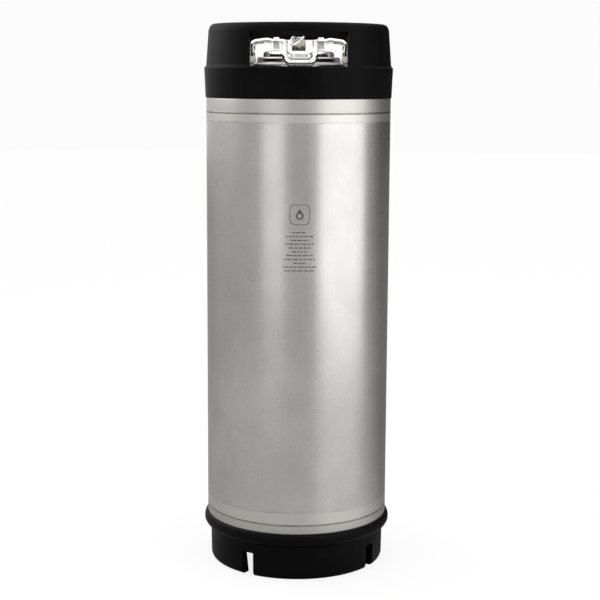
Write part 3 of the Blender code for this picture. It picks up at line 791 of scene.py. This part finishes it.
def port_weld(x):
    """A fillet bead between a port and the dome round it."""
    rings = []
    for radius, lift in ((8.0, -1.5), (8.0, 2.2), (8.6, 2.0), (9.5, 1.4), (10.3, 0.6), (10.8, -0.3),
                         (10.8, -1.5)):
        ring = []
        for k in range(SMALL):
            angle = 2.0 * pi * k / SMALL
            px, py = x + radius * cos(angle), radius * sin(angle)
            ripple = 0.12 * sin(angle * 26.0) if radius > 8.2 and lift > -1.0 else 0.0
            ring.append(Vector((px, py, TOP_TANGENT + head_rise(hypot(px, py)) + lift + ripple)))
        rings.append(ring)
    return skin(rings, wrap=True)


def make_posts(weld):
    for side, x in (("gas", -POST_X), ("liquid", POST_X)):
        place = Matrix.Translation((x, 0.0, 0.0))
        steel = turned_steel(side + "_fitting_steel", (x, 0.0), 0.70)
        stub = filleted([(5.0, 593.5, 0.3), (7.7, 593.5, 0.3), (8.2, 592.9, 0.2), (8.2, 572.0, 0.3),
                         (5.0, 572.0, 0.3)], 3)
        shape_to_piece(side + "_threaded_port", moved(turned(stub, SMALL), place), steel, "keg",
                       [side + "_port"])
        shape_to_piece(side + "_port_weld", port_weld(x), weld, "keg")

        barrel = filleted([(3.3, 621.0, 0.5), (7.4, 621.0, 0.8), (8.6, 619.6, 0.8), (8.6, 615.6, 0.3),
                           (6.8, 615.4, 0.4), (6.8, 612.8, 0.4), (8.7, 612.6, 0.3), (8.7, 608.4, 0.6),
                           (7.6, 607.4, 0.8), (7.6, 605.0, 0.8), (8.7, 604.0, 0.6), (8.7, 599.0, 0.5),
                           (10.6, 599.0, 0.3)], 4, closed=False)
        rings = [circle(r, z, SMALL) for r, z in barrel]
        if side == "gas":
            rings += hex_levels(22.2, 594.5, 598.6)[::-1]
            rings += [circle(10.9, 594.3, SMALL), circle(10.9, 593.5, SMALL)]
            rings += hex_levels(22.2, 588.0, 593.3)[::-1]
        else:
            rings += hex_levels(22.2, 588.0, 598.6)[::-1]
        bore = [(8.5, 588.0), (8.5, 597.6), (5.4, 597.6), (5.4, 615.9), (3.3, 618.0)]
        rings += [circle(r, z, SMALL) for r, z in bore]
        shape_to_piece(side + "_plug", moved(skin(rings, wrap=True), place), steel, "keg",
                       [side + "_post"], sharp=25.0)

        rubber = seal_rubber(side + "_ring_rubber")
        section = [(8.1 + cos(2.0 * pi * k / 14), 614.1 + sin(2.0 * pi * k / 14)) for k in range(14)]
        shape_to_piece(side + "_plug_oring", moved(turned(section, SMALL), place), rubber, "keg",
                       [side + "_post_oring"])

        pin = filleted([(0.0, 620.4, 0.0), (2.0, 620.4, 0.5), (2.0, 614.0, 0.2), (4.4, 614.0, 0.3),
                        (4.4, 612.6, 0.3), (1.6, 612.6, 0.2), (1.6, 605.0, 0.3), (0.0, 605.0, 0.0)],
                       4, closed=False)
        shape_to_piece(side + "_valve_pin", moved(turned(pin, 40), place), steel, side + "_poppet",
                       [side + "_poppet"])
        seal = filleted([(2.4, 614.3, 0.2), (4.3, 614.3, 0.3), (4.6, 615.6, 0.5), (3.4, 616.8, 0.5),
                         (2.4, 616.8, 0.2)], 3)
        shape_to_piece(side + "_valve_seal", moved(turned(seal, 40), place), rubber,
                       side + "_poppet", [side + "_poppet_seal"])


# ================================================================ lid
def make_lid():
    steel = polished_steel("lid_steel")
    outline = [(-4.2, LID_TOP, 1.6), (-1.5, 605.2, 2.2), (-0.5, 602.6, 1.6), (-0.5, FLANGE_TOP, 0.6),
               (4.4, FLANGE_TOP, 0.5), (4.9, 590.1, 0.5), (4.4, 589.3, 0.5), (-1.0, 589.3, 0.6),
               (-2.1, 590.4, 0.6), (-2.1, 602.4, 1.0), (-4.2, LID_TOP - 1.6, 1.0)]
    edge = filleted(outline, 5)

    def plateau(z, inwards):
        rings = []
        for k in range(8):
            share = k / 7.0
            ring = []
            for far in oval(-6.0, z):
                near = Vector((9.3 * cos(atan2(far.y, far.x)), 9.3 * sin(atan2(far.y, far.x)), z))
                ring.append(near.lerp(far, share))
            rings.append(ring)
        return rings[::-1] if inwards else rings

    rings = plateau(LID_TOP, False) + [oval(d, z) for d, z in edge]
    rings += plateau(LID_TOP - 1.6, True)
    shape_to_piece("lid_pressing", skin(rings, wrap=True), steel, "lid", ["lid_plate"],
                   sharp=50.0)

    section = [(2.3 + 2.5 * cos(2.0 * pi * k / 16), 593.7 + 2.5 * sin(2.0 * pi * k / 16))
               for k in range(16)]
    shape_to_piece("lid_ring_seal", skin([oval(d, z) for d, z in section], wrap=True),
                   seal_rubber("lid_seal_rubber"), "lid", ["lid_gasket"])

    for side, x in (("left", -26.0), ("right", 26.0)):
        low, outer, inner, foot = LID_TOP + 0.3, 5.1, 3.6, 9.0
        outline = [(-foot, low), (-foot, low + 1.5), (-outer - 0.6, low + 1.5), (-outer, low + 2.1)]
        for k in range(25):
            angle = pi - pi * k / 24
            outline.append((outer * cos(angle), HINGE_Z + outer * sin(angle)))
        outline += [(outer, low + 2.1), (outer + 0.6, low + 1.5), (foot, low + 1.5), (foot, low),
                    (inner, low)]
        for k in range(25):
            angle = pi * k / 24
            outline.append((inner * cos(angle), HINGE_Z + inner * sin(angle)))
        outline.append((-inner, low))
        rings = [[Vector((x + shift, y, z)) for y, z in outline] for shift in (-3.3, 3.3)]
        shape_to_piece(side + "_bail_strap", skin(rings), steel, "lid", ["bail_bracket_" + side],
                       sharp=30.0, bevel=(0.3, 40.0, 3))
        dots = []
        for y in (-7.2, 7.2):
            dot = filleted([(0.0, low + 1.2, 0.0), (1.3, low + 1.2, 0.0), (1.3, low + 1.62, 0.1),
                            (0.7, low + 1.56, 0.2), (0.0, low + 1.52, 0.0)], 3, closed=False)
            dots.append(moved(turned(dot, 24), Matrix.Translation((x, y, 0.0))))
        shape_to_piece(side + "_spot_welds", joined(*dots), weld_steel(side + "_spot_steel"), "lid")


def make_bail():
    steel = polished_steel("bail_steel", 0.86, 0.06)

    def half(sign):
        arm = HANDLE_OFFSET + sign * ARM_X
        return [(Vector((arm, BAR_Y, BAR_Z)), 10.0), (Vector((arm, ELBOW_Y, ELBOW_Z)), 10.0),
                (Vector((arm, 0.0, HINGE_Z)), 5.0), (Vector((sign * 31.0, 0.0, HINGE_Z)), 10.0),
                (Vector((sign * 36.0, 0.0, CREST_Z)), 12.0),
                (Vector((sign * LEG_X, 0.0, LEG_TOP)), 5.0),
                (Vector((sign * LEG_X, 0.0, LEG_END)), 0.0)]

    path = rounded_path(half(-1.0)[::-1] + half(1.0))
    shape_to_piece("bail_wire_form", swept(path, WIRE, 24, 0.5), steel, "bail", ["bail_wire"])
    vinyl = foot_vinyl("foot_vinyl")
    foot = filleted([(0.0, 592.3, 0.0), (1.5, 592.3, 0.6), (3.0, 592.8, 1.0), (4.0, 594.2, 1.0),
                     (4.1, 595.4, 1.0), (3.9, 597.0, 1.0), (3.9, 600.0, 0.25), (3.4, 600.0, 0.2),
                     (3.4, 594.3, 0.4), (0.0, 594.3, 0.0)], 4, closed=False)
    for side, x in (("left", -LEG_X), ("right", LEG_X)):
        sleeve = moved(turned(foot, 40), Matrix.Translation((x, 0.0, 0.0)))
        shape_to_piece(side + "_bail_tip", sleeve, vinyl, "bail", ["bail_foot_" + side])


# ================================================================ relief valve
def ear_axes():
    outwards = Vector((sin(EAR_TURN), -cos(EAR_TURN), 0.0))
    across = Vector((cos(EAR_TURN), sin(EAR_TURN), 0.0))
    return outwards, across


def make_relief_valve():
    nickel = turned_steel("valve_nickel", tone=0.60, warm=0.10, base=0.20)
    boss = filleted([(6.9, 606.6, 0.3), (9.0, 606.6, 0.5), (9.0, 597.0, 0.5), (6.9, 597.0, 0.3)], 3)
    shape_to_piece("valve_boss", turned(boss, SMALL), turned_steel("boss_steel", tone=0.62), "lid",
                   ["prv_boss"])

    levels = hex_levels(16.0, 606.9, VALVE_TOP)
    rings = [circle(6.2, VALVE_TOP, SMALL), circle(7.2, VALVE_TOP, SMALL)] + levels[::-1]
    for radius, z in ((6.6, 606.9), (6.6, 598.4), (2.2, 598.4), (2.2, 600.0), (4.6, 600.0),
                      (4.6, 615.2), (6.2, 615.2)):
        rings.append(circle(radius, z, SMALL))
    drill = turned([(0.0, 3.0), (1.3, 3.0), (1.3, 12.0), (0.0, 12.0)], 32)
    drill = moved(drill, Matrix.Translation((0.0, 0.0, 611.3)) @ Matrix.Rotation(radians(30.0), 4, "Z")
                  @ Matrix.Rotation(pi / 2.0, 4, "X"))
    shape_to_piece("valve_body", cut_with(skin(rings, wrap=True), drill), nickel, "lid",
                   ["prv_body"], sharp=22.0)

    bright = turned_steel("valve_cap_steel", tone=0.74, base=0.12)
    cap = filleted([(0.0, CAP_TOP, 0.0), (7.8, CAP_TOP, 0.7), (7.8, VALVE_TOP + 0.3, 0.4),
                    (2.0, VALVE_TOP + 0.3, 0.2), (2.0, 603.4, 0.1), (4.2, 603.4, 0.2),
                    (4.2, 601.9, 0.2), (1.0, 601.9, 0.1), (1.0, 600.6, 0.2), (0.0, 600.6, 0.0)],
                   4, closed=False)
    outwards, across = ear_axes()
    to_ear = Matrix((across, -outwards, (0.0, 0.0, 1.0))).transposed().to_4x4()
    base = Matrix.Translation(outwards * EAR_RADIUS) @ to_ear
    rings = []
    for shift in (-EAR_THICK, EAR_THICK):
        outer = [Vector((shift, -EAR_WIDTH, CAP_TOP - 0.6))]
        for k in range(49):
            angle = pi - pi * k / 48
            outer.append(Vector((shift, EAR_WIDTH * cos(angle), EAR_Z + EAR_WIDTH * sin(angle))))
        rings.append(outer + [Vector((shift, EAR_WIDTH, CAP_TOP - 0.6))])
    ear = moved(skin(rings), base)
    hole = turned([(0.0, -5.0), (EAR_BORE, -5.0), (EAR_BORE, 5.0), (0.0, 5.0)], 32)
    hole = moved(hole, base @ Matrix.Translation((0.0, 0.0, EAR_Z)) @ Matrix.Rotation(pi / 2.0, 4, "Y"))
    ear = cut_with(ear, hole)
    shape_to_piece("valve_stem", joined(turned(cap, SMALL), ear), bright, "prv_stem", ["prv_stem"],
                   sharp=32.0)


def make_pull_ring():
    """Round wire ring through the ear, its butted ends brazed."""
    outwards, across = ear_axes()
    up = Vector((0.0, 0.0, 1.0))
    hinge = (across * cos(RING_ROLL) + up * sin(RING_ROLL)).normalized()
    level_out = (outwards - hinge * outwards.dot(hinge)).normalized()
    steep = hinge.cross(level_out)
    if steep.z > 0.0:
        steep = -steep
    along = level_out * cos(RING_LEAN) + steep * sin(RING_LEAN)
    normal = hinge.cross(along)
    centre = outwards * EAR_RADIUS + up * EAR_Z + along * RING_RADIUS
    place = Matrix.Translation(centre) @ Matrix((along, hinge, -normal)).transposed().to_4x4()
    rings = []
    for k in range(112):
        turn = 2.0 * pi * k / 112
        swell = 1.0 + 0.16 * max(0.0, 1.0 - abs(turn - 0.9) / 0.07)
        rings.append([Vector(((RING_RADIUS + RING_WIRE * swell * cos(a)) * cos(turn),
                              (RING_RADIUS + RING_WIRE * swell * cos(a)) * sin(turn),
                              RING_WIRE * swell * sin(a)))
                      for a in (2.0 * pi * j / 16 for j in range(16))])
    shape_to_piece("pull_ring", moved(skin(rings, wrap=True), place),
                   polished_steel("ring_steel", 0.82, 0.06), "prv_ring", ["prv_pull_ring"])


# ================================================================ generic mark
def make_mark():
    """A plain droplet badge and bars in place of the maker's printing."""
    radius = SHELL_RADIUS + 0.05
    middle_x, middle_z = 2.0, 426.0
    ink = etched("mark_ink")

    def patch(points_a, points_b):
        """A strip between two lines of (x, z), laid on the drum."""
        mesh = bmesh.new()
        lines = []
        for points in (points_a, points_b):
            for depth in (0.0, -0.35):
                line = []
                for x, z in points:
                    turn = (middle_x + x) / SHELL_RADIUS
                    reach = radius + depth
                    line.append(mesh.verts.new((reach * sin(turn), -reach * cos(turn),
                                                middle_z + z)))
                lines.append(line)
        a_top, a_low, b_top, b_low = lines
        for first, second in ((a_top, b_top), (b_top, b_low), (b_low, a_low), (a_low, a_top)):
            for k in range(len(first) - 1):
                mesh.faces.new([first[k], first[k + 1], second[k + 1], second[k]])
        if (Vector(points_a[0]) - Vector(points_a[-1])).length > 1e-6:
            mesh.faces.new([a_top[0], b_top[0], b_low[0], a_low[0]])
            mesh.faces.new([a_top[-1], b_top[-1], b_low[-1], a_low[-1]])
        bmesh.ops.remove_doubles(mesh, verts=mesh.verts, dist=1e-5)
        bmesh.ops.recalc_face_normals(mesh, faces=mesh.faces)
        return mesh

    def squarish(size, count=96, power=4.5):
        points = []
        for k in range(count + 1):
            angle = 2.0 * pi * (k % count) / count
            c, s = cos(angle), sin(angle)
            reach = size / (abs(c) ** power + abs(s) ** power) ** (1.0 / power)
            points.append((reach * c, reach * s))
        return points

    meshes = [patch(squarish(11.4), squarish(10.7))]
    drop_left, drop_right = [], []
    for k in range(33):
        share = k / 32
        z = -5.6 + 12.6 * share
        wide = 4.3 * sqrt(max(0.0, 1.0 - ((z + 1.3) / 4.3) ** 2)) if z < 0.8 else None
        if wide is None:
            wide = 3.76 * (1.0 - (z - 0.8) / 6.2) ** 1.25
        drop_left.append((-wide, z))
        drop_right.append((wide, z))
    meshes.append(patch(drop_left, drop_right))

    dice = random.Random(7)
    widths = [17.0, 31.0, 20.0, 33.0, 25.0, 16.0, 30.0, 35.0, 13.0, 37.0, 35.0]
    for row, width in enumerate(widths):
        z = -20.5 - row * 4.3
        start = -width / 2.0
        while start < width / 2.0 - 1.0:
            length = min(dice.uniform(2.2, 6.5), width / 2.0 - start)
            count = max(2, int(length / 1.0))
            xs = [start + length * k / count for k in range(count + 1)]
            meshes.append(patch([(v, z) for v in xs], [(v, z + 1.15) for v in xs]))
            start += length + dice.uniform(0.9, 1.5)
    shape_to_piece("etched_mark", joined(*meshes), ink, "keg", sharp=30.0)


# ================================================================ carried-over nodes
def finish_cad_nodes():
    """Gives the inner CAD nodes that stay their own procedural finish."""
    tube = turned_steel("tube_steel", tone=0.60)
    spring = turned_steel("spring_wire_steel", tone=0.55)
    rubber = seal_rubber("inner_seal_rubber")
    washer = turned_steel("retainer_steel", tone=0.66)
    for name, material in (("gas_dip_tube", tube), ("liquid_dip_tube", tube),
                           ("gas_poppet_spring", spring), ("liquid_poppet_spring", spring),
                           ("prv_spring", spring), ("prv_retainer", washer),
                           ("gas_tube_oring", rubber), ("liquid_tube_oring", rubber),
                           ("prv_seal", rubber)):
        node = NODES[name]
        node.data.materials.clear()
        node.data.materials.append(material)


# ================================================================ studio
BACKDROP = 0.97                 # how bright the camera sees the paper and the surround


def ring_ramp(tree, x, y, stops):
    """Grey that changes with the direction round the keg, in degrees from -Y towards +X."""
    turn = calc(tree, "ARCTAN2", x, times(tree, y, -1.0))
    share = calc(tree, "MULTIPLY_ADD", turn, 1.0 / (2.0 * pi), 0.5)
    ramp = add(tree, "ShaderNodeValToRGB", None, Fac=share)
    elements = ramp.color_ramp.elements
    while len(elements) < len(stops):
        elements.new(0.5)
    for element, (degrees, _) in zip(elements, stops):
        element.position = degrees / 360.0 + 0.5
    for element, (_, value) in zip(elements, stops):
        element.color = (value, value, value * 0.985, 1.0)
    return ramp.outputs[0]


def make_floor():
    mesh = bmesh.new()
    bmesh.ops.create_circle(mesh, cap_ends=True, radius=9.0, segments=96)
    data = bpy.data.meshes.new("floor")
    mesh.to_mesh(data)
    mesh.free()
    floor = bpy.data.objects.new("floor", data)
    bpy.context.scene.collection.objects.link(floor)
    material, tree, shader = new_material("floor_paper")
    where = object_place(tree)
    fibre = noise(tree, where, 900.0)
    color = blend_colors(tree, fibre, (0.80, 0.80, 0.795), (0.82, 0.82, 0.815))
    path = add(tree, "ShaderNodeLightPath")
    x, y, _ = add(tree, "ShaderNodeSeparateXYZ", None, Vector=where).outputs
    # Painted light and shade seen only in reflections: the floor's grey changes by direction round the
    # keg, lighter towards the right softbox and dark to the right and behind.
    painted_reflection_tone = ring_ramp(tree, x, y, [(-180, 0.36), (-150, 0.23), (-112, 0.34), (-60, 0.42), (16, 0.41),
                                      (36, 0.56), (72, 0.56), (96, 0.34), (122, 0.15), (164, 0.12),
                                      (180, 0.36)])
    color = blend_colors(tree, path.outputs["Is Glossy Ray"], color, painted_reflection_tone)
    tree.links.new(color, shader.inputs["Base Color"])
    shader.inputs["Roughness"].default_value = 0.8
    shader.inputs["Specular IOR Level"].default_value = 0.1
    glow = add(tree, "ShaderNodeEmission", None, Color=(1.0, 1.0, 1.0, 1.0), Strength=BACKDROP)
    lift = times(tree, path.outputs["Is Camera Ray"], 0.86)
    both = add(tree, "ShaderNodeMixShader", None, i0=lift, i1=shader.outputs[0], i2=glow.outputs[0])
    tree.links.new(both.outputs[0], tree.nodes["Material Output"].inputs["Surface"])
    data.materials.append(material)


def make_world():
    """Soft surround: paler to the left and behind, darker to the right, bright above."""
    world = bpy.data.worlds.new("studio")
    bpy.context.scene.world = world
    world.use_nodes = True
    tree = world.node_tree
    background = tree.nodes["Background"]
    way = add(tree, "ShaderNodeTexCoord").outputs["Generated"]
    x, y, z = add(tree, "ShaderNodeSeparateXYZ", None, Vector=way).outputs
    around = ring_ramp(tree, x, y, [(-180, 1.0), (-150, 0.88), (-115, 1.0), (-88, 0.90), (-64, 0.70),
                                    (-50, 0.66), (-8, 0.66), (6, 0.66), (22, 0.72), (84, 0.72),
                                    (100, 0.50), (118, 0.09), (162, 0.05), (172, 0.8), (180, 1.0)])
    above = spread(tree, z, 0.42, 0.72)
    sky = blend_colors(tree, above, around, (1.75, 1.75, 1.75))
    tree.links.new(sky, background.inputs["Color"])
    plain = add(tree, "ShaderNodeBackground", None, Color=(1.0, 1.0, 1.0, 1.0), Strength=BACKDROP)
    seen = add(tree, "ShaderNodeLightPath").outputs["Is Camera Ray"]
    both = add(tree, "ShaderNodeMixShader", None, i0=seen, i1=background.outputs[0],
               i2=plain.outputs[0])
    tree.links.new(both.outputs[0], tree.nodes["World Output"].inputs["Surface"])


def add_softbox(name, degrees, distance, centre_z, width, height, radiance):
    """An upright panel facing the keg; degrees are from the front towards +X."""
    light = bpy.data.lights.new(name, "AREA")
    light.shape = "RECTANGLE"
    light.size, light.size_y = width, height
    light.energy = radiance * pi * width * height
    lamp = bpy.data.objects.new(name, light)
    bpy.context.scene.collection.objects.link(lamp)
    turn = radians(degrees)
    lamp.location = (distance * sin(turn), -distance * cos(turn), centre_z)
    aim = Vector((0.0, 0.0, centre_z)) - lamp.location
    lamp.rotation_euler = aim.to_track_quat("-Z", "Y").to_euler()
    lamp.visible_camera = False


def make_camera():
    data = bpy.data.cameras.new("camera")
    data.lens = 85.9
    data.sensor_width = 36.0
    camera = bpy.data.objects.new("camera", data)
    bpy.context.scene.collection.objects.link(camera)
    turn = Matrix.Rotation(radians(-0.100), 4, "Z") @ Matrix.Rotation(radians(90.0 - 9.067), 4, "X")
    roll = Matrix.Rotation(radians(0.300), 4, "Z")
    camera.matrix_world = Matrix.Translation((0.0, -1.6927, 0.5832)) @ turn @ roll
    bpy.context.scene.camera = camera


def build():
    make_camera()
    make_world()
    make_floor()
    add_softbox("right_softbox", 56.0, 1.4, 0.90, 1.70, 1.75, 1.35)
    add_softbox("left_strip", -29.5, 2.0, 1.05, 0.95, 2.0, 0.92)
    add_softbox("left_high_softbox", -106.0, 1.5, 1.42, 1.4, 1.4, 2.3)
    bpy.context.scene.view_settings.view_transform = "Standard"

    head = drum_steel("head_steel", 0.41)
    rubber = boot_rubber("boot_rubber")
    make_drum()
    make_bottom_head(head)
    make_top_head(head)
    make_top_boot(rubber)
    make_base_boot(rubber)
    make_posts(weld_steel("port_weld_steel"))
    make_lid()
    make_bail()
    make_relief_valve()
    make_pull_ring()
    make_mark()
    finish_cad_nodes()


build()
